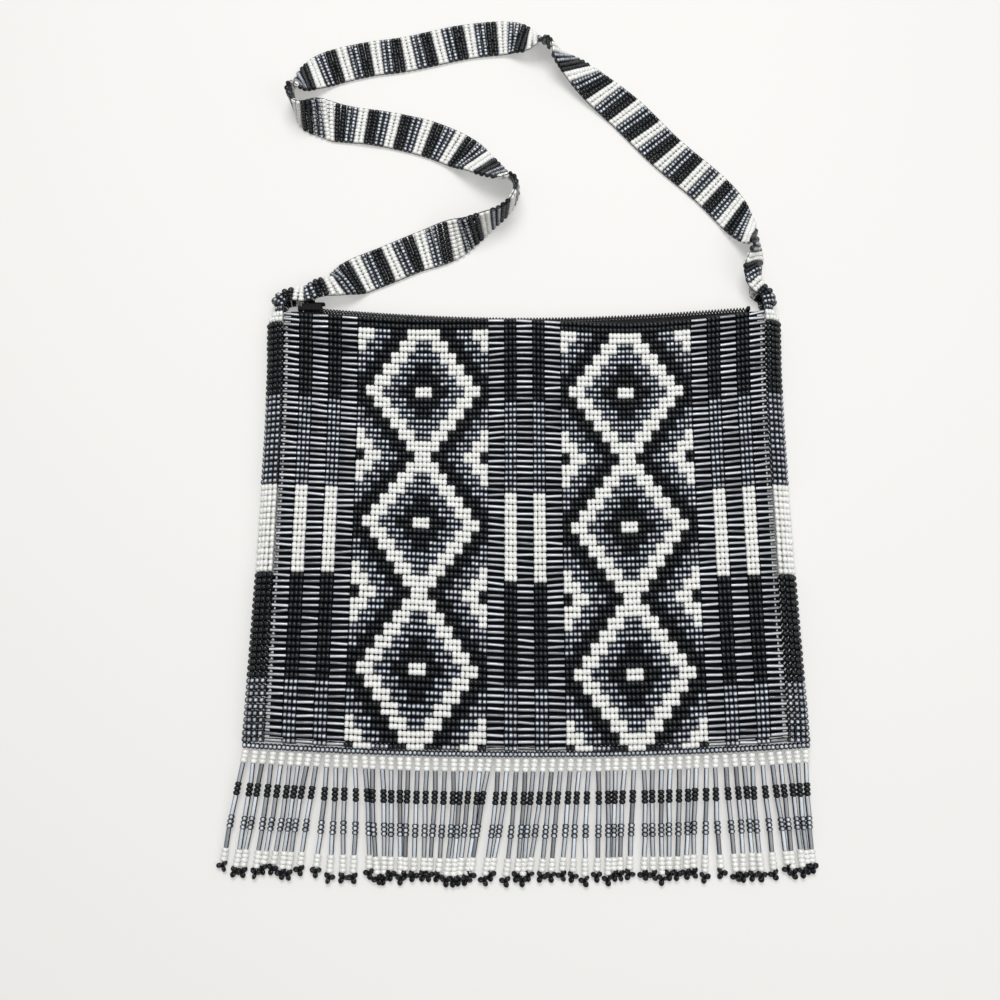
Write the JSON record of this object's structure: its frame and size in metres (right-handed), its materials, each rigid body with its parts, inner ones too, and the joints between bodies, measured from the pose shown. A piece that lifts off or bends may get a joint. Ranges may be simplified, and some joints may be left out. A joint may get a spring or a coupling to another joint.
{
  "type": "beaded shoulder bag",
  "caption": "Flat shoulder bag woven from glass beads, with a zip mouth, side gussets that run on as a carrying strap, and a beaded fringe.",
  "frame": {"origin": "middle of the back panel's middle bead row, on its underside, where the bag rests", "axes": "+Z out of the front panel, +Y from the bag towards the strap, -Y towards the fringe, +X to the right"},
  "size_m": [0.2813, 0.4532, 0.0207],
  "materials": {
    "bead_fabric": "glossy opaque and silver-lined glass beads, woven in rows",
    "bead_band": "glossy glass beads in black, grey and white stripes",
    "bead_hem": "glossy grey-lined glass beads",
    "bead_fringe": "glossy glass beads and long glass tubes",
    "lining_cloth": "plain black woven cloth",
    "zip_tape": "black twill tape",
    "zip_nylon": "black nylon coil, satin",
    "zip_metal": "black lacquered metal, satin"
  },
  "bodies": {
    "bag": {"front_panel": "bead_fabric", "back_panel": "bead_fabric", "left_gusset": "bead_band", "right_gusset": "bead_band", "front_lining": "lining_cloth", "back_lining": "lining_cloth", "front_zip_tape": "zip_tape", "back_zip_tape": "zip_tape", "front_zip_coil": "zip_nylon", "back_zip_coil": "zip_nylon", "left_zip_stop": "zip_metal", "right_zip_stop": "zip_metal", "hem_row": "bead_hem", "strap_left_end": "bead_band"},
    "zip_slider": {"zip_slider": "zip_metal"},
    "zip_pull": {"zip_pull": "zip_metal"},
    "strap": {"strap_lower_band": "bead_band", "strap_middle_band": "bead_band", "strap_upper_band": "bead_band", "strap_right_end": "bead_band"},
    "fringe_1": {"fringe_bunch_1": "bead_fringe"},
    "fringe_2": {"fringe_bunch_2": "bead_fringe"},
    "fringe_3": {"fringe_bunch_3": "bead_fringe"},
    "fringe_4": {"fringe_bunch_4": "bead_fringe"},
    "fringe_5": {"fringe_bunch_5": "bead_fringe"},
    "fringe_6": {"fringe_bunch_6": "bead_fringe"},
    "fringe_7": {"fringe_bunch_7": "bead_fringe"},
    "fringe_8": {"fringe_bunch_8": "bead_fringe"},
    "fringe_9": {"fringe_bunch_9": "bead_fringe"}
  },
  "joints": [
    {"name": "zip_slide", "type": "slide", "parent": "bag", "child": "zip_slider", "axis": [1, 0, 0], "range_m": [0, 0.2175]},
    {"name": "zip_pull_turn", "type": "hinge", "parent": "zip_slider", "child": "zip_pull", "pos_m": [-0.11025, 0.11672, 0.00585], "axis": [0, 0, 1], "range_deg": [0, 50]},
    {"name": "strap_lift", "type": "hinge", "parent": "bag", "child": "strap", "pos_m": [0, 0.12198, 0.00585], "axis": [1, 0, 0], "range_deg": [0, 90]},
    {"name": "fringe_1_swing", "type": "hinge", "parent": "bag", "child": "fringe_1", "pos_m": [-0.11889, -0.10589, 0.00585], "axis": [0.9983, -0.0584, 0], "range_deg": [-85, 85]},
    {"name": "fringe_2_swing", "type": "hinge", "parent": "bag", "child": "fringe_2", "pos_m": [-0.08917, -0.10741, 0.00585], "axis": [0.999, -0.0438, 0], "range_deg": [-85, 85]},
    {"name": "fringe_3_swing", "type": "hinge", "parent": "bag", "child": "fringe_3", "pos_m": [-0.05944, -0.1085, 0.00585], "axis": [0.9996, -0.0292, 0], "range_deg": [-85, 85]},
    {"name": "fringe_4_swing", "type": "hinge", "parent": "bag", "child": "fringe_4", "pos_m": [-0.02972, -0.10915, 0.00585], "axis": [0.9999, -0.0146, 0], "range_deg": [-85, 85]},
    {"name": "fringe_5_swing", "type": "hinge", "parent": "bag", "child": "fringe_5", "pos_m": [0, -0.10937, 0.00585], "axis": [1, 0, 0], "range_deg": [-85, 85]},
    {"name": "fringe_6_swing", "type": "hinge", "parent": "bag", "child": "fringe_6", "pos_m": [0.02972, -0.10915, 0.00585], "axis": [0.9999, 0.0146, 0], "range_deg": [-85, 85]},
    {"name": "fringe_7_swing", "type": "hinge", "parent": "bag", "child": "fringe_7", "pos_m": [0.05944, -0.1085, 0.00585], "axis": [0.9996, 0.0292, 0], "range_deg": [-85, 85]},
    {"name": "fringe_8_swing", "type": "hinge", "parent": "bag", "child": "fringe_8", "pos_m": [0.08917, -0.10741, 0.00585], "axis": [0.999, 0.0438, 0], "range_deg": [-85, 85]},
    {"name": "fringe_9_swing", "type": "hinge", "parent": "bag", "child": "fringe_9", "pos_m": [0.11889, -0.10589, 0.00585], "axis": [0.9983, 0.0584, 0], "range_deg": [-85, 85]}
  ]
}
